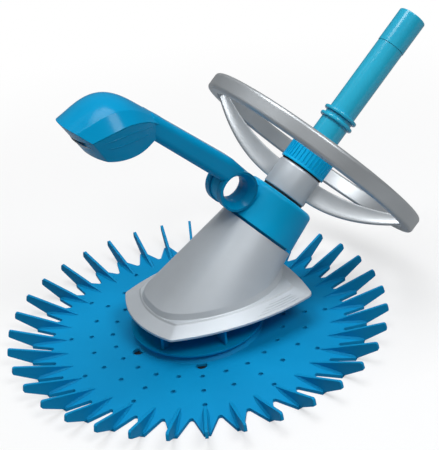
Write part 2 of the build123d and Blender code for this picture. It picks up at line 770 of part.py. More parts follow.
def arm_root():
    """Tapered start of the arm, whose upper side runs off the rounds of the cheeks."""
    return loft(
        [
            arm_section(0, CHEEK_R, CLEVIS_WIDTH),
            arm_section(ARM_ROOT, ARM_HEIGHT, CLEVIS_WIDTH),
        ],
        ruled=True,
    )


def pod_section(station, inset):
    """Section across the pod: flat-sided crown above the seam, bowed floor below it."""
    x, half, seam_z, crown_z, under_half, under_z = station
    half -= inset
    under_half -= inset
    crown_z -= inset
    under_z += inset
    bevel_y = 0.74 * half
    bevel_z = seam_z + 0.62 * (crown_z - seam_z)
    side_z = under_z + 0.1 * (seam_z - under_z)
    return make_face(
        [
            Line((x, half, seam_z), (x, bevel_y, bevel_z)),
            ThreePointArc((x, bevel_y, bevel_z), (x, 0, crown_z), (x, -bevel_y, bevel_z)),
            Line((x, -bevel_y, bevel_z), (x, -half, seam_z)),
            Line((x, -half, seam_z), (x, -under_half, side_z)),
            ThreePointArc((x, -under_half, side_z), (x, 0, under_z), (x, under_half, side_z)),
            Line((x, under_half, side_z), (x, half, seam_z)),
        ]
    )


def pod_nose(inset):
    """Bowed and undercut front that trims the pod."""
    crown_z, under_z = pod_stations[0][3], pod_stations[0][5]
    reach = 2 * (crown_z - under_z)
    lean = reach * math.tan(math.radians(POD_NOSE_UNDERCUT))
    radius = POD_NOSE_RADIUS - inset
    outline = [(0, -reach), (radius - lean, -reach), (radius + lean, reach), (0, reach)]
    return turned(outline, Plane(origin=(arm_end.X + POD_NOSE + POD_NOSE_RADIUS, 0, crown_z)))


def pod_block(inset):
    """The pod as one full block: its outside, or its inside when shrunk by a wall."""
    stations = pod_stations if inset == 0 else pod_stations[:-2]
    return loft([pod_section(station, inset) for station in stations]) & pod_nose(inset)


def above_seam(drop=0.0):
    """Everything over the curved seam between the two halves of the pod."""
    seam = [(station[0], 0, station[2] - drop) for station in pod_stations]
    seam = [(seam[0][0] - 5, 0, seam[0][2] - 1.5)] + seam
    over_z = pod_stations[0][2] + 100
    outline = [Spline(seam), Polyline([seam[-1], (seam[-1][0], 0, over_z), (seam[0][0], 0, over_z), seam[0]])]
    return extrude(make_face(outline), 60, dir=(0, 1, 0), both=True)


def pod_slab(x_start, x_end):
    """Slab across the pod between two x positions."""
    return Pos((x_start + x_end) / 2, 0, pod_stations[0][2]) * Box(x_end - x_start, 200, 200)


def hollow_pod():
    inside = pod_block(POD_WALL)
    return pod_block(0) - inside


def hinge_disc(radius, width, offset=0.0):
    return Pos(hinge.X, offset, hinge.Z) * Rot(90, 0, 0) * Cylinder(radius, width)


def pivot_seat():
    """Space of the hollow pivot in one cheek, widening outwards."""
    half = CLEVIS_WIDTH / 2
    waist = PIVOT_R + PIVOT_FIT
    mouth = PIVOT_FLANGE_R + PIVOT_FIT
    return turned(
        [
            (0, 0),
            (waist, 0),
            (waist, PIVOT_CONE_START),
            (mouth, half - PIVOT_FLANGE_THICK),
            (mouth, half + 1),
            (0, half + 1),
        ]
    )


def pivot_facing(side):
    return Plane(origin=hinge, x_dir=(1, 0, 0), z_dir=(0, side, 0)).location


def float_arm():
    shape = hollow_pod() & above_seam()
    shape += arm_beam(0, ARM_ROOT, ARM_LENGTH) + arm_root()
    shape += hinge_disc(CHEEK_R, CLEVIS_WIDTH)
    shape -= arm_beam(ARM_WALL, ARM_CORE_START, ARM_LENGTH + 1)
    for x, floor_z in pod_boss_places:
        column = Pos(x, 0, floor_z) * Cylinder(POD_BOSS_R, 200)
        shape += column & pod_block(POD_WALL + POD_SEAM)
        shape += column & pod_block(0) & above_seam()
        shape -= Pos(x, 0, floor_z) * Cylinder(SCREW_R + SCREW_FIT, 30)
    shape -= hinge_disc(CHEEK_R + 3, LUG_WIDTH + 2 * LUG_FIT)
    for side in (-1, 1):
        shape -= pivot_facing(side) * pivot_seat()
    return shape


def pod_lower_shell():
    tip, second = pod_stations[:2]
    slot_place = Pos((tip[0] + second[0]) / 2, 0, (tip[2] + second[2]) / 2)
    shell = (hollow_pod() & pod_slab(tip[0] - 1, arm_end.X + POD_LOWER_END)) - above_seam(POD_SEAM)
    shell -= arm_beam(-POD_SEAM, 60, ARM_LENGTH + 2)
    shell -= slot_place * Box(POD_SLOT_DEPTH, 2 * POD_SLOT_HALF, 2 * POD_SLOT_HEIGHT)
    for x, floor_z in pod_boss_places:
        shell -= Pos(x, 0, floor_z) * Cylinder(SCREW_R + SCREW_FIT, 20)
        shell -= Pos(x, 0, floor_z + POD_HEAD_DEPTH - 5) * Cylinder(SCREW_HEAD_R + SCREW_FIT, 10)
    return shell


def foam_float():
    """Closed-cell foam block that fills the pod between the arm and the tip."""
    foam = pod_block(POD_WALL + FOAM_GAP) & pod_slab(arm_end.X + FOAM_START, arm_end.X + FOAM_END)
    for x, _ in pod_boss_places:
        foam -= Pos(x, 0, arm_end.Z) * Cylinder(POD_BOSS_R + FOAM_GAP, 200)
    return foam


def pod_screws():
    screws = []
    for x, floor_z in pod_boss_places:
        seat = floor_z + POD_HEAD_DEPTH
        head = Pos(x, 0, seat - SCREW_HEAD / 2) * Cylinder(SCREW_HEAD_R, SCREW_HEAD)
        screws.append(head + Pos(x, 0, seat + 5) * Cylinder(SCREW_R, 10))
    return Compound(screws)


def pivot_bush(side):
    """Half of the dished hollow pivot, pushed in from one side to the middle."""
    half = CLEVIS_WIDTH / 2
    bush = turned(
        [
            (PIVOT_WAIST_R, 0.1),
            (PIVOT_R, 0.1),
            (PIVOT_R, PIVOT_CONE_START),
            (PIVOT_FLANGE_R, half - PIVOT_FLANGE_THICK),
            (PIVOT_FLANGE_R, half),
            (PIVOT_MOUTH_R, half),
            (PIVOT_NECK_R, PIVOT_CONE_START),
        ],
        rounds={4: 0.8},
    )
    return pivot_facing(side) * bush


parts = {
    "finned_disc": finned_disc,
    "foot_pad": foot_pad,
    "main_housing": main_housing,
    "body_shroud": body_shroud,
    "shroud_screws": shroud_screws,
    "ballast_weight": ballast_weight,
    "diaphragm": diaphragm,
    "diaphragm_ring_lower": lambda: retaining_ring(diaphragm_start + STACK_GAP),
    "diaphragm_ring_upper": lambda: retaining_ring(diaphragm_end - DIAPHRAGM_COLLAR),
    "inner_pipe": inner_pipe,
    "cap_seal": cap_seal,
    "throat_cap": throat_cap,
    "lower_pipe": lower_pipe,
    "grip_ring": grip_ring,
    "hand_nut": hand_nut,
    "swivel_pipe": swivel_pipe,
    "swivel_o_ring": swivel_o_ring,
    "hose_sleeve": hose_sleeve,
    "wheel_washer_lower": lambda: wheel_washer(cap_top, LOWER_WASHER_THICK),
    "wheel_washer_upper": lambda: wheel_washer(hub_top + WASHER_GAP, UPPER_WASHER_THICK),
    "wheel_bush": wheel_bush,
    "wheel_yoke": wheel_yoke,
    "wheel_rim": wheel_rim,
    "float_arm": float_arm,
    "pod_lower_shell": pod_lower_shell,
    "foam_float": foam_float,
    "pod_screws": pod_screws,
    "pivot_bush_left": lambda: pivot_bush(1),
    "pivot_bush_right": lambda: pivot_bush(-1),
}

os.makedirs("parts", exist_ok=True)
for node, make in parts.items():
    save(node, make())
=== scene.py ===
import json
import math

import bmesh
import bpy
from mathutils import Matrix, Vector
from mathutils.bvhtree import BVHTree


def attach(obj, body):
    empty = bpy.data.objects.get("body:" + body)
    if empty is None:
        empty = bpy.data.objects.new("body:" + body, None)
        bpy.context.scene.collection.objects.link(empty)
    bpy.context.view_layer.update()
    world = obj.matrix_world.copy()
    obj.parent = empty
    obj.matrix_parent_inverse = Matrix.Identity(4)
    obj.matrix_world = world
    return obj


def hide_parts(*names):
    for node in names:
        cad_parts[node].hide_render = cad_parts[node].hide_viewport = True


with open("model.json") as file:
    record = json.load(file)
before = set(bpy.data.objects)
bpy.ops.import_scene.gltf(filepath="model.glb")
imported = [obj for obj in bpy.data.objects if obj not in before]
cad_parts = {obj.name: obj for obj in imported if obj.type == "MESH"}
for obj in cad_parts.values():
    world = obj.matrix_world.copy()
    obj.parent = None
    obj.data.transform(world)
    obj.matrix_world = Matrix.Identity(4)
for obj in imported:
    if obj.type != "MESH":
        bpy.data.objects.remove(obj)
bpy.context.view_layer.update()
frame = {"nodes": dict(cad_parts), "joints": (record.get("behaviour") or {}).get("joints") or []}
nodes = frame["nodes"]
joints = {joint["name"]: joint for joint in frame["joints"]}
mm = 0.001
print("frame loaded:", len(nodes), "nodes")


def linear(hexColour):
    # sRGB hex to linear colour with alpha
    channels = [int(hexColour[i : i + 2], 16) / 255 for i in (0, 2, 4)]
    return [c / 12.92 if c <= 0.04045 else ((c + 0.055) / 1.055) ** 2.4 for c in channels] + [1.0]


def addNode(tree, kind, settings=None, links=None):
    # a node with its values or attributes set, and inputs linked from other sockets
    node = tree.nodes.new(kind)
    for key, value in (settings or {}).items():
        if key in node.inputs:
            node.inputs[key].default_value = value
        else:
            setattr(node, key, value)
    for key, socket in (links or {}).items():
        tree.links.new(socket, node.inputs[key])
    return node


def mouldedMaterial(name, looks):
    # faint cloud in the colour, uneven gloss, fine grain and softened edges; sizes in millimetres
    material = bpy.data.materials.new(name)
    material.use_nodes = True
    tree = material.node_tree
    shader = tree.nodes["Principled BSDF"]
    for key, value in looks["shader"].items():
        shader.inputs[key].default_value = value
    place = {"Vector": addNode(tree, "ShaderNodeTexCoord").outputs["Object"]}
    cloudGrain = {"Scale": 1000 / looks["cloudSize"], "Detail": 4.0}
    cloud = addNode(tree, "ShaderNodeTexNoise", cloudGrain, place)
    colour = addNode(tree, "ShaderNodeValToRGB", None, {"Fac": cloud.outputs["Fac"]})
    ends = colour.color_ramp.elements
    ends[0].position, ends[1].position = 0.3, 0.7
    ends[0].color, ends[1].color = linear(looks["low"]), linear(looks["high"])
    tree.links.new(colour.outputs["Color"], shader.inputs["Base Color"])
    patchGrain = {"Scale": 1000 / looks["glossSize"], "Detail": 2.0}
    patches = addNode(tree, "ShaderNodeTexNoise", patchGrain, place)
    spread = {"To Min": looks["roughness"][0], "To Max": looks["roughness"][1]}
    gloss = addNode(tree, "ShaderNodeMapRange", spread, {"Value": patches.outputs["Fac"]})
    tree.links.new(gloss.outputs["Result"], shader.inputs["Roughness"])
    edge = addNode(tree, "ShaderNodeBevel", {"samples": 4, "Radius": looks["edge"] * mm})
    fineGrain = {"Scale": 1000 / looks["grainSize"], "Detail": 3.0}
    grain = addNode(tree, "ShaderNodeTexNoise", fineGrain, place)
    relief = addNode(
        tree,
        "ShaderNodeBump",
        {"Strength": looks["grainStrength"], "Distance": looks["grainDepth"] * mm},
        {"Height": grain.outputs["Fac"], "Normal": edge.outputs["Normal"]},
    )
    tree.links.new(relief.outputs["Normal"], shader.inputs["Normal"])
    return material


# a grain finer than about 1 mm would not show, so each is drawn at least that coarse
finishLooks = {
    # polyurethane, poured and cured in a mould: even strong blue with a dull sheen
    "polyurethaneCast": {
        "low": "0489c0",
        "high": "0791c9",
        "cloudSize": 110,
        "glossSize": 16,
        "roughness": (0.48, 0.6),
        "grainSize": 1.2,
        "grainDepth": 0.15,
        "grainStrength": 0.2,
        "edge": 0.8,
        "shader": {"IOR": 1.45, "Specular IOR Level": 0.12},
    },
    # ABS, injection moulded in a polished tool: deeper blue with crisp highlights
    "absMouldedGloss": {
        "low": "0089bb",
        "high": "0091c4",
        "cloudSize": 70,
        "glossSize": 25,
        "roughness": (0.16, 0.24),
        "grainSize": 1.0,
        "grainDepth": 0.05,
        "grainStrength": 0.1,
        "edge": 1.0,
        "shader": {"IOR": 1.5, "Specular IOR Level": 0.13},
    },
    # the same ABS in a textured tool: a flatter blue on the cap and the nut, painted brighter than the
    # other blue parts as painted light that offsets the shade falling on them
    "absMouldedSatinLit": {
        "low": "00a7dc",
        "high": "00afe4",
        "cloudSize": 60,
        "glossSize": 14,
        "roughness": (0.34, 0.42),
        "grainSize": 1.0,
        "grainDepth": 0.08,
        "grainStrength": 0.2,
        "edge": 1.0,
        "shader": {"IOR": 1.5, "Specular IOR Level": 0.15},
    },
    # PVC, extruded: lighter and greener, with a gloss that runs along the pipe
    "pvcExtruded": {
        "low": "1aa5c9",
        "high": "22adcf",
        "cloudSize": 90,
        "glossSize": 20,
        "roughness": (0.12, 0.18),
        "grainSize": 1.0,
        "grainDepth": 0.04,
        "grainStrength": 0.1,
        "edge": 0.6,
        "shader": {"IOR": 1.5, "Specular IOR Level": 0.7},
    },
    # ABS with aluminium flake, moulded: satin silver with a broad, soft sheen
    "absFlakeSilver": {
        "low": "c6cdd3",
        "high": "ced5db",
        "cloudSize": 60,
        "glossSize": 12,
        "roughness": (0.42, 0.5),
        "grainSize": 0.9,
        "grainDepth": 0.05,
        "grainStrength": 0.18,
        "edge": 1.2,
        "shader": {"Metallic": 0.35, "IOR": 1.5},
    },
    # the same with more flake: the darker, smokier silver of the wheel's rim; on the blades it is
    # painted shade, darker than the hub they are moulded with
    "absFlakeSmokeAndShade": {
        "low": "b0b5b9",
        "high": "b9bec2",
        "cloudSize": 80,
        "glossSize": 12,
        "roughness": (0.32, 0.4),
        "grainSize": 0.9,
        "grainDepth": 0.05,
        "grainStrength": 0.18,
        "edge": 1.4,
        "shader": {"Metallic": 0.55, "IOR": 1.5},
    },
    # the same as the shroud with sharper corners: hub of the wheel
    "absFlakeSharp": {
        "low": "bec5cb",
        "high": "c7ced4",
        "cloudSize": 60,
        "glossSize": 12,
        "roughness": (0.38, 0.46),
        "grainSize": 0.9,
        "grainDepth": 0.05,
        "grainStrength": 0.18,
        "edge": 0.4,
        "shader": {"Metallic": 0.4, "IOR": 1.5},
    },
    # nylon filled with carbon black, moulded: washers, rings and the foot pad
    "nylonMoulded": {
        "low": "111214",
        "high": "1b1c1f",
        "cloudSize": 30,
        "glossSize": 10,
        "roughness": (0.4, 0.6),
        "grainSize": 1.0,
        "grainDepth": 0.08,
        "grainStrength": 0.3,
        "edge": 0.4,
        "shader": {"IOR": 1.5, "Specular IOR Level": 0.4},
    },
    # polyethylene foam, cut from a block: chalky and pitted
    "polyethyleneFoam": {
        "low": "c9c8c0",
        "high": "dedcd4",
        "cloudSize": 25,
        "glossSize": 5,
        "roughness": (0.8, 0.95),
        "grainSize": 1.6,
        "grainDepth": 0.6,
        "grainStrength": 0.7,
        "edge": 1.0,
        "shader": {"IOR": 1.4},
    },
    # stainless steel, turned: screws
    "stainlessTurned": {
        "low": "8d9094",
        "high": "a4a7ab",
        "cloudSize": 8,
        "glossSize": 3,
        "roughness": (0.25, 0.45),
        "grainSize": 1.0,
        "grainDepth": 0.05,
        "grainStrength": 0.3,
        "edge": 0.3,
        "shader": {"Metallic": 1.0},
    },
}
finishes = {name: mouldedMaterial(name, looks) for name, looks in finishLooks.items()}

nodeFinishes = {
    "polyurethaneCast": ["finned_disc"],
    "absMouldedGloss": [
        "main_housing",
        "float_arm",
        "pod_lower_shell",
        "pivot_bush_left",
        "pivot_bush_right",
    ],
    "absMouldedSatinLit": ["throat_cap", "hand_nut"],
    "pvcExtruded": ["lower_pipe", "swivel_pipe", "hose_sleeve"],
    "absFlakeSilver": ["body_shroud"],
    "absFlakeSharp": ["wheel_yoke"],
    "absFlakeSmokeAndShade": ["wheel_rim"],
    "nylonMoulded": [
        "foot_pad",
        "ballast_weight",
        "diaphragm",
        "diaphragm_ring_lower",
        "diaphragm_ring_upper",
        "inner_pipe",
        "cap_seal",
        "grip_ring",
        "swivel_o_ring",
        "wheel_washer_lower",
        "wheel_washer_upper",
        "wheel_bush",
    ],
    "polyethyleneFoam": ["foam_float"],
    "stainlessTurned": ["shroud_screws", "pod_screws"],
}


def paint(piece, finishName):
    piece.data.materials.clear()
    piece.data.materials.append(finishes[finishName])


for finishName, nodeNames in nodeFinishes.items():
    for nodeName in nodeNames:
        paint(nodes[nodeName], finishName)
print("finishes laid on the nodes")


def meshPiece(name, vertices, faces, finishName, slotName, body):
    # a smooth mesh that rides on a body; sizes in millimetres
    mesh = bpy.data.meshes.new(name)
    mesh.from_pydata([Vector(v) * mm for v in vertices], [], faces)
    mesh.validate()
    build = bmesh.new()
    build.from_mesh(mesh)
    bmesh.ops.recalc_face_normals(build, faces=build.faces)
    build.to_mesh(mesh)
    build.free()
    mesh.polygons.foreach_set("use_smooth", [True] * len(mesh.polygons))
    piece = bpy.data.objects.new(name, mesh)
    bpy.context.collection.objects.link(piece)
    paint(piece, finishName)
    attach(piece, body)
    return piece


creaseAngle = 40.0


def creaseSharp(piece):
    # keeps edges sharper than the crease angle crisp in the shading
    build = bmesh.new()
    build.from_mesh(piece.data)
    for edge in build.edges:
        edge.smooth = edge.calc_face_angle(0) < math.radians(creaseAngle)
    build.to_mesh(piece.data)
    build.free()


def beadPiece(name, lines, radius, finishName, body):
    # round beads along smooth lines that thin out to nothing at both ends; sizes in millimetres
    curve = bpy.data.curves.new(name, "CURVE")
    curve.dimensions = "3D"
    curve.bevel_depth = radius * mm
    curve.bevel_resolution = 2
    curve.resolution_u = 4
    for line in lines:
        spline = curve.splines.new("BEZIER")
        spline.bezier_points.add(len(line) - 1)
        for k, (point, place) in enumerate(zip(spline.bezier_points, line)):
            point.co = Vector(place) * mm
            point.handle_left_type = point.handle_right_type = "AUTO"
            point.radius = 0.0 if k in (0, len(line) - 1) else 1.0
    piece = bpy.data.objects.new(name, curve)
    bpy.context.collection.objects.link(piece)
    paint(piece, finishName)
    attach(piece, body)


def polar(radius, degrees, height=0.0):
    angle = math.radians(degrees)
    return Vector((radius * math.cos(angle), radius * math.sin(angle), height))


def tubes(centres, ringRadius, tubeRadius, height, steps):
    # flat rings of round section, all at one height
    sides = 6
    vertices, faces = [], []
    for centre in centres:
        first = len(vertices)
        for i in range(steps):
            for j in range(sides):
                turn = 2 * math.pi * j / sides
                out = ringRadius + tubeRadius * math.cos(turn)
                up = height + tubeRadius * math.sin(turn)
                vertices.append(centre + polar(out, 360 * i / steps, up))
                here, there = first + i * sides, first + (i + 1) % steps * sides
                faces.append((here + j, there + j, there + (j + 1) % sides, here + (j + 1) % sides))
    return vertices, faces


# finned disc: fillets at the fin roots, rims round the holes, and black flaps in the large holes as
# painted shade
disc = {
    "thick": 4.0,
    "finCount": 36,
    "bladeStart": 150.0,
    "bladeSlope": 23.0 / 65.0,
    "bladeHalf": 1.6,
    "toothRadius": 191.0,
    "toothHalf": 3.5,
    "toothTaper": 0.37,
    "filletSetback": 3.0,
    "filletLeast": 0.05,
    "filletMost": 2.6,
    "filletShare": 0.7,
    "filletMargin": 0.15,
    "sink": 0.1,
    "holeRadius": 2.3,
    "spokeCount": 24,
    "firstSpoke": 5.0,
    "longRow": (99.0, 123.5, 147.0),
    "shortRow": (98.0, 123.5),
    "largeHoleRadius": 6.0,
    "largeHoleCircle": 80.0,
    "largeHoleAngles": (65, 125, 185, 245),
    "rimRadius": 0.45,
    "smallRimSteps": 20,
    "largeRimSteps": 36,
    "flapRadius": 5.7,
    "flapBottom": 0.1,
    "flapEdge": 0.6,
    "flapCrown": 0.7,
}


def filletReach(radius):
    # how far the fillet runs out over the tooth at a distance from the disc's middle
    height = (radius - disc["bladeStart"]) * disc["bladeSlope"]
    toothEdge = disc["toothHalf"] + disc["toothTaper"] * (disc["toothRadius"] - radius)
    room = toothEdge - disc["bladeHalf"] - disc["filletMargin"]
    return max(disc["filletLeast"], min(disc["filletMost"], disc["filletShare"] * height, room))


def finFillets():
    # closed strips, hollow-faced, in the corner between each blade and its tooth
    alongSteps, roundSteps = 7, 4
    start = disc["bladeStart"] + disc["filletSetback"]
    vertices, faces = [], []
    for fin in range(disc["finCount"]):
        outward = polar(1, 360 * (fin + 0.5) / disc["finCount"])
        across = Vector((-outward.y, outward.x, 0))
        for side in (-1, 1):
            first = len(vertices)
            row = roundSteps + 2
            for i in range(alongSteps + 1):
                radius = start + (disc["toothRadius"] - start) * i / alongSteps
                reach = filletReach(radius)
                corner = outward * radius + across * side * (disc["bladeHalf"] - disc["sink"])
                corner += Vector((0, 0, disc["thick"] - disc["sink"]))
                vertices.append(corner)
                for j in range(roundSteps + 1):
                    turn = math.pi / 2 * j / roundSteps
                    out, up = reach * (1 - math.sin(turn)), reach * (1 - math.cos(turn))
                    vertices.append(corner + across * side * out + Vector((0, 0, up)))
            for i in range(alongSteps):
                for j in range(row):
                    here, after = first + i * row, (j + 1) % row
                    faces.append((here + j, here + after, here + row + after, here + row + j))
            faces.append(tuple(range(first, first + row)))
            faces.append(tuple(range(len(vertices) - row, len(vertices))))
    piece = meshPiece("fin_fillets", vertices, faces, "polyurethaneCast", "disc_rubber", "disc")
    creaseSharp(piece)


def holeRims():
    centres = []
    rim = disc["rimRadius"]
    for k in range(disc["spokeCount"]):
        row = disc["shortRow"] if k % 2 else disc["longRow"]
        spoke = disc["firstSpoke"] + 360 / disc["spokeCount"] * k
        centres += [polar(radius, spoke) for radius in row]
    small = tubes(centres, disc["holeRadius"] + rim, rim, disc["thick"], disc["smallRimSteps"])
    meshPiece("hole_rims", *small, "polyurethaneCast", "disc_rubber", "disc")
    centres = [polar(disc["largeHoleCircle"], angle) for angle in disc["largeHoleAngles"]]
    large = tubes(centres, disc["largeHoleRadius"] + rim, rim, disc["thick"], disc["largeRimSteps"])
    meshPiece("large_hole_rims", *large, "polyurethaneCast", "disc_rubber", "disc")
    return centres


def shadeFlaps(centres):
    # low domed black flaps that fill the large holes: painted shade, dark where the lit floor would
    # show through
    vertices, faces = [], []
    steps, rings = 32, 4
    for centre in centres:
        first = len(vertices)
        vertices.append(centre + Vector((0, 0, disc["flapEdge"] + disc["flapCrown"])))
        for i in range(1, rings + 1):
            out = disc["flapRadius"] * i / rings
            up = disc["flapEdge"] + disc["flapCrown"] * (1 - (i / rings) ** 2)
            vertices += [centre + polar(out, 360 * j / steps, up) for j in range(steps)]
        bottom = disc["flapBottom"]
        vertices += [centre + polar(disc["flapRadius"], 360 * j / steps, bottom) for j in range(steps)]
        for j in range(steps):
            after = (j + 1) % steps
            faces.append((first, first + 1 + j, first + 1 + after))
            for i in range(rings):
                here = first + 1 + i * steps
                faces.append((here + j, here + steps + j, here + steps + after, here + after))
        faces.append(tuple(range(len(vertices) - steps, len(vertices))))
    meshPiece("shade_flaps", vertices, faces, "nylonMoulded", "dark_rubber", "disc")


finFillets()
shadeFlaps(holeRims())
print("disc: fillets, hole rims and flaps")


# shroud: four fine beads on each side of the skirt, towards the rear corner
skirt = {
    "front": (-60.0, 59.5),
    "side": (20.0, 81.5),
    "rear": (110.0, 75.0),
    "lipHeight": 41.0,
    "stepHeight": 47.0,
    "stepInset": 16.0,
    "beadInsets": (4.0, 6.8, 9.6, 12.4),
    "beadRadius": 0.5,
    "beadSink": 0.1,
    "beadStart": 34.0,
    "beadStagger": 7.0,
    "beadEnd": 101.0,
    "beadPoints": 9,
}


def circleThrough(a, b, c):
    # centre and radius of the circle through three points of a plane
    (ax, ay), (bx, by), (cx, cy) = a, b, c
    twice = 2 * (ax * (by - cy) + bx * (cy - ay) + cx * (ay - by))
    squares = [x * x + y * y for x, y in (a, b, c)]
    x = (squares[0] * (by - cy) + squares[1] * (cy - ay) + squares[2] * (ay - by)) / twice
    y = (squares[0] * (cx - bx) + squares[1] * (ax - cx) + squares[2] * (bx - ax)) / twice
    return x, y, math.hypot(ax - x, ay - y)


def skirtBeads():
    x0, y0, bow = circleThrough(skirt["front"], skirt["side"], skirt["rear"])
    rise = (skirt["stepHeight"] - skirt["lipHeight"]) / skirt["stepInset"]
    lines = []
    for order, inset in enumerate(skirt["beadInsets"]):
        start = skirt["beadStart"] + skirt["beadStagger"] * order
        for side in (-1, 1):
            line = []
            for k in range(skirt["beadPoints"]):
                x = start + (skirt["beadEnd"] - inset - start) * k / (skirt["beadPoints"] - 1)
                y = y0 + math.sqrt((bow - inset) ** 2 - (x - x0) ** 2)
                line.append((x, side * y, skirt["lipHeight"] + rise * inset - skirt["beadSink"]))
            lines.append(line)
    beadPiece("skirt_beads", lines, skirt["beadRadius"], "absFlakeSilver", "body")


skirtBeads()
print("shroud: skirt beads")


# wheel: hub and two blades, hollow-faced and thick along their lower edge
throat = Vector(joints["wheel_spin"]["axis"]).normalized()
throatFoot = Vector(joints["wheel_spin"]["pos_m"]) / mm
yoke = {
    "hubBottom": 168.0,
    "hubTop": 201.5,
    "hubRadius": 27.0,
    "hubBore": 23.2,
    "hubRound": 3.0,
    "hubRoundSteps": 6,
    "hubChamfer": 0.8,
    "hubSteps": 72,
    "rimBottom": 214.0,
    "rimTop": 233.7,
    "rimInner": 127.4,
    "lowSag": 9.6,
    "highSag": 6.2,
    "lowRoot": 6.0,
    "highRoot": 3.5,
    "endDrop": 6.7,
    "edgeHalf": 4.0,
    "webHalf": 1.5,
    "rootSink": 2.0,
    "rootFlare": 3.2,
    "flareReach": 5.0,
    "endLift": 0.5,
    # height above the lower edge and step in from the full half thickness
    "edgeProfile": ((0.0, 1.2), (0.35, 0.3), (1.1, 0.0), (2.6, 0.1)),
    # depth below the upper edge and share of the web's half thickness
    "topProfile": ((0.9, 1.0), (0.25, 0.65), (0.0, 0.0)),
    "topReach": 1.6,
    "hollowPower": 2.2,
    "hollowSteps": 6,
    "bladeSteps": 26,
    "turn": 130.0,
    "tabStart": 1.0,
    "tabDepth": 4.2,
    "tabDrop": 2.0,
    "tabHalf": 3.0,
    "tabHeight": 7.0,
}


def onThroat(radius, along, degrees, aside=0.0):
    # a point about the throat axis, moved sideways from the half-plane at that angle
    across = Vector((-throat.z, 0, throat.x))
    beside = throat.cross(across)
    angle = math.radians(degrees)
    out = across * math.cos(angle) + beside * math.sin(angle)
    side = beside * math.cos(angle) - across * math.sin(angle)
    return throatFoot + throat * along + out * radius + side * aside


def arcHeight(start, end, sag, share):
    # height on a flat arc that hangs below its chord
    return start + (end - start) * share - 4 * sag * share * (1 - share)


def bladeOutline(tall, web):
    # half thickness at heights above the lower edge: square edge, hollow face, rounded top
    edge = yoke["edgeHalf"]
    outline = [(0, 0)] + [(up, edge - inward) for up, inward in yoke["edgeProfile"]]
    foot, thick = outline[-1]
    for k in range(1, yoke["hollowSteps"] + 1):
        rise = k / yoke["hollowSteps"]
        up = foot + (tall - foot - yoke["topReach"]) * rise
        outline.append((up, web + (thick - web) * (1 - rise) ** yoke["hollowPower"]))
    return outline + [(tall - down, share * web) for down, share in yoke["topProfile"]]


def bladeMesh(vertices, faces, degrees):
    steps = yoke["bladeSteps"]
    root, tip = yoke["hubRadius"] - yoke["rootSink"], yoke["rimInner"]
    lowRoot, lowEnd = yoke["hubBottom"] + yoke["lowRoot"], yoke["rimBottom"] + yoke["endLift"]
    highRoot, highEnd = yoke["hubTop"] - yoke["highRoot"], yoke["rimTop"] - yoke["endDrop"]
    for i in range(steps + 1):
        share = i / steps
        radius = root + (tip - root) * share
        low = arcHeight(lowRoot, lowEnd, yoke["lowSag"], share)
        high = arcHeight(highRoot, highEnd, yoke["highSag"], share)
        beyond = max(0, radius - yoke["hubRadius"])
        flare = yoke["rootFlare"] * math.exp(-beyond / yoke["flareReach"])
        outline = bladeOutline(high - low, yoke["webHalf"] + flare)
        loop = outline + [(up, -half) for up, half in reversed(outline[1:-1])]
        first = len(vertices)
        vertices += [onThroat(radius, low + up, degrees, half) for up, half in loop]
        rows = len(loop)
        if i:
            for k in range(rows):
                after = (k + 1) % rows
                faces.append((first - rows + k, first - rows + after, first + after, first + k))
        else:
            faces.append(tuple(range(first, first + rows)))
    faces.append(tuple(range(first, first + rows)))


def tabMesh(vertices, faces, degrees):
    # block at the end of a blade, seated in the rim
    middle = (yoke["rimBottom"] + yoke["rimTop"]) / 2 - yoke["tabDrop"]
    first = len(vertices)
    for radius in (yoke["rimInner"] - yoke["tabStart"], yoke["rimInner"] + yoke["tabDepth"]):
        for up, aside in ((-1, -1), (1, -1), (1, 1), (-1, 1)):
            along = middle + up * yoke["tabHeight"] / 2
            vertices.append(onThroat(radius, along, degrees, aside * yoke["tabHalf"]))
    quads = ((0, 1, 2, 3), (4, 5, 6, 7), (0, 1, 5, 4), (1, 2, 6, 5), (2, 3, 7, 6), (3, 0, 4, 7))
    faces += [tuple(first + corner for corner in quad) for quad in quads]


def wheelYoke():
    vertices, faces = [], []
    bottom, top, hubRadius = yoke["hubBottom"], yoke["hubTop"], yoke["hubRadius"]
    soft, chamfer = yoke["hubRound"], yoke["hubChamfer"]
    outline = [(yoke["hubBore"], bottom), (hubRadius - chamfer, bottom), (hubRadius, bottom + chamfer)]
    for k in range(yoke["hubRoundSteps"] + 1):
        turn = math.pi / 2 * k / yoke["hubRoundSteps"]
        outline.append((hubRadius - soft * (1 - math.cos(turn)), top - soft * (1 - math.sin(turn))))
    outline.append((yoke["hubBore"], top))
    steps = yoke["hubSteps"]
    for i in range(steps):
        vertices += [onThroat(radius, along, 360 * i / steps) for radius, along in outline]
        for k in range(len(outline)):
            here, there = i * len(outline), (i + 1) % steps * len(outline)
            after = (k + 1) % len(outline)
            faces.append((here + k, there + k, there + after, here + after))
    hub = meshPiece("wheel_hub_moulding", vertices, faces, "absFlakeSharp", "silver_plastic", "wheel")
    creaseSharp(hub)
    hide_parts("wheel_yoke")
    vertices, faces = [], []
    for half in (0, 180):
        bladeMesh(vertices, faces, yoke["turn"] + half)
        tabMesh(vertices, faces, yoke["turn"] + half)
    # the blades take the rim's darker silver as painted shade
    blades = meshPiece("wheel_blades", vertices, faces, "absFlakeSmokeAndShade", "silver_plastic", "wheel")
    creaseSharp(blades)
    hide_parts("wheel_yoke")


wheelYoke()
print("wheel: hub and blades")
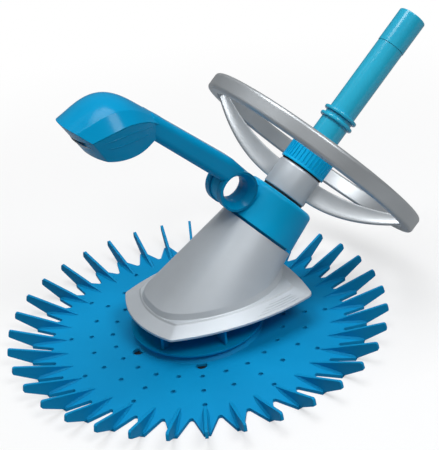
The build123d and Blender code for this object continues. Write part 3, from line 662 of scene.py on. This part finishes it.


# pod: raised lines on the sides of the lower shell, and a pale bead round the nose slot as a painted
# highlight on its lip
hinge = Vector(joints["float_hinge"]["pos_m"]) / mm
pod = {
    "armAngle": 44.0,
    "armLength": 140.0,
    # from the end of the arm: x, half width, seam, half width below, underside
    "stations": (
        (-60, 40, 15.5, 34, -5.5),
        (-42, 43, 20.5, 35, -14.5),
        (-20, 41, 23, 33, -17.5),
        (-2, 32, 18, 26, -15.5),
        (9, 24, 12.5, 20, -12.0),
    ),
    "lineShares": (0.24, 0.5),
    "lineRise": 0.9,
    "lineRadius": 0.6,
    "noseMiddle": 15.0,
    "slotHalf": 31.0,
    # height and distance from the nose's middle
    "slotBottom": (7.0, 81.4),
    "slotPoints": 9,
    "lipRadius": 0.7,
}


def podLines():
    bend = math.radians(pod["armAngle"])
    armEnd = hinge + Vector((-math.cos(bend), 0, math.sin(bend))) * pod["armLength"]
    shell = nodes["pod_lower_shell"]
    corners = [vertex.co for vertex in shell.data.vertices]
    surface = BVHTree.FromPolygons(corners, [polygon.vertices for polygon in shell.data.polygons])
    lines = []
    for share in pod["lineShares"]:
        for side in (-1, 1):
            line = []
            for x, half, seam, halfBelow, under in pod["stations"]:
                y = half + share * (halfBelow - half)
                z = seam + share * pod["lineRise"] * (under - seam)
                wanted = armEnd + Vector((x, side * y, z))
                line.append(surface.find_nearest(wanted * mm)[0] / mm)
            lines.append(line)
    beadPiece("pod_lines", lines, pod["lineRadius"], "absMouldedGloss", "float")
    # a pale silver bead along the slot's lower edge: painted highlight on the blue lip
    height, reach = pod["slotBottom"]
    lip = []
    for k in range(pod["slotPoints"]):
        y = pod["slotHalf"] * (2 * k / (pod["slotPoints"] - 1) - 1)
        x = pod["noseMiddle"] - math.sqrt(reach * reach - y * y)
        lip.append(surface.find_nearest((armEnd + Vector((x, y, height))) * mm)[0] / mm)
    beadPiece("slot_lip_highlight", [lip], pod["lipRadius"], "absFlakeSilver", "float")


podLines()
print("pod: side lines and slot lip")


# studio: pale floor, dim dome, one soft light overhead, one in front and a faint strip behind
studio = {
    "floorHalf": 6.0,
    "floorSeen": "eff0f1",
    "floorBounce": "a8a9aa",
    "paperRoughness": 0.9,
    "paperSpecular": 0.1,
    "fadeStart": 0.25,
    "fadeEnd": 1.1,
    "fadeLeast": 0.55,
    "domeTop": 0.3,
    "domeHorizon": 0.1,
    "aim": (0.02, 0.0, 0.14),
    # place, width and length in metres, roll in degrees and power in watts
    "lights": {
        "overhead": ((-0.1, 0.15, 2.4), 1.5, 1.5, 0.0, 37.0),
        "front": ((0.41, -1.4, 1.91), 0.9, 0.9, 0.0, 20.0),
        "strip": ((-0.9, 0.9, 1.57), 0.25, 1.2, 27.5, 0.6),
    },
}


def aimAt(thing, place, target, roll=0.0):
    # stands a thing at a place, looking at a target, turned about its line of sight
    look = (Vector(target) - Vector(place)).to_track_quat("-Z", "Y")
    turn = Matrix.Rotation(roll, 4, "Z")
    thing.matrix_world = Matrix.Translation(place) @ look.to_matrix().to_4x4() @ turn


def layFloor():
    half = studio["floorHalf"]
    mesh = bpy.data.meshes.new("studio_floor")
    corners = [(-half, -half, 0), (half, -half, 0), (half, half, 0), (-half, half, 0)]
    mesh.from_pydata(corners, [], [(0, 1, 2, 3)])
    floor = bpy.data.objects.new("studio_floor", mesh)
    bpy.context.collection.objects.link(floor)
    # matt paper that the camera sees paler than the light it throws back up
    paper = bpy.data.materials.new("paperMatt")
    paper.use_nodes = True
    tree = paper.node_tree
    shader = tree.nodes["Principled BSDF"]
    shader.inputs["Roughness"].default_value = studio["paperRoughness"]
    shader.inputs["Specular IOR Level"].default_value = studio["paperSpecular"]
    seen = addNode(tree, "ShaderNodeLightPath").outputs["Is Camera Ray"]
    tone = addNode(tree, "ShaderNodeValToRGB", None, {"Fac": seen})
    ends = tone.color_ramp.elements
    ends[0].color, ends[1].color = linear(studio["floorBounce"]), linear(studio["floorSeen"])
    tree.links.new(tone.outputs["Color"], shader.inputs["Base Color"])
    # the camera sees shadows on the paper softened, and further out a plain white backdrop
    place = addNode(tree, "ShaderNodeTexCoord").outputs["Object"]
    length = addNode(tree, "ShaderNodeVectorMath", {"operation": "LENGTH"}, {"Vector": place})
    away = length.outputs["Value"]
    span = {
        "From Min": studio["fadeStart"],
        "From Max": studio["fadeEnd"],
        "To Min": studio["fadeLeast"],
        "interpolation_type": "SMOOTHSTEP",
    }
    fade = addNode(tree, "ShaderNodeMapRange", span, {"Value": away}).outputs["Result"]
    shown = addNode(tree, "ShaderNodeMath", {"operation": "MULTIPLY"})
    tree.links.new(fade, shown.inputs[0])
    tree.links.new(seen, shown.inputs[1])
    white = addNode(tree, "ShaderNodeEmission", {"Color": linear("ffffff"), "Strength": 1.0})
    blend = addNode(tree, "ShaderNodeMixShader", None, {"Fac": shown.outputs["Value"]})
    tree.links.new(shader.outputs["BSDF"], blend.inputs[1])
    tree.links.new(white.outputs["Emission"], blend.inputs[2])
    tree.links.new(blend.outputs["Shader"], tree.nodes["Material Output"].inputs["Surface"])
    mesh.materials.append(paper)


def lightStudio():
    world = bpy.data.worlds.new("studio_dome")
    world.use_nodes = True
    tree = world.node_tree
    direction = addNode(tree, "ShaderNodeTexCoord").outputs["Generated"]
    height = addNode(tree, "ShaderNodeSeparateXYZ", None, {"Vector": direction}).outputs["Z"]
    levels = {"To Min": studio["domeHorizon"], "To Max": studio["domeTop"]}
    dome = addNode(tree, "ShaderNodeMapRange", levels, {"Value": height}).outputs["Result"]
    seen = addNode(tree, "ShaderNodeLightPath").outputs["Is Camera Ray"]
    level = addNode(tree, "ShaderNodeMix", {"B": 1.0}, {"Factor": seen, "A": dome}).outputs["Result"]
    sky = tree.nodes["Background"]
    sky.inputs["Color"].default_value = linear("ffffff")
    tree.links.new(level, sky.inputs["Strength"])
    bpy.context.scene.world = world
    for name, (place, width, length, roll, power) in studio["lights"].items():
        lamp = bpy.data.lights.new("light_" + name, "AREA")
        lamp.shape = "ELLIPSE"
        lamp.size = width
        lamp.size_y = length
        lamp.energy = power
        stand = bpy.data.objects.new("light_" + name, lamp)
        bpy.context.collection.objects.link(stand)
        aimAt(stand, place, studio["aim"], math.radians(roll))


view = {
    "place": (-0.3779, -0.8738, 0.6417),
    "target": (0.05999, 0.03946, 0.09698),
    "roll": -6.471,
    "lens": 81.12,
    "sensorWidth": 36.0,
}


def setCamera():
    optics = bpy.data.cameras.new("camera")
    optics.sensor_fit = "HORIZONTAL"
    optics.sensor_width = view["sensorWidth"]
    optics.lens = view["lens"]
    camera = bpy.data.objects.new("camera", optics)
    bpy.context.collection.objects.link(camera)
    aimAt(camera, view["place"], view["target"], math.radians(view["roll"]))
    bpy.context.scene.camera = camera
    bpy.context.scene.view_settings.view_transform = "Standard"


layFloor()
lightStudio()
setCamera()
print("studio and camera set")
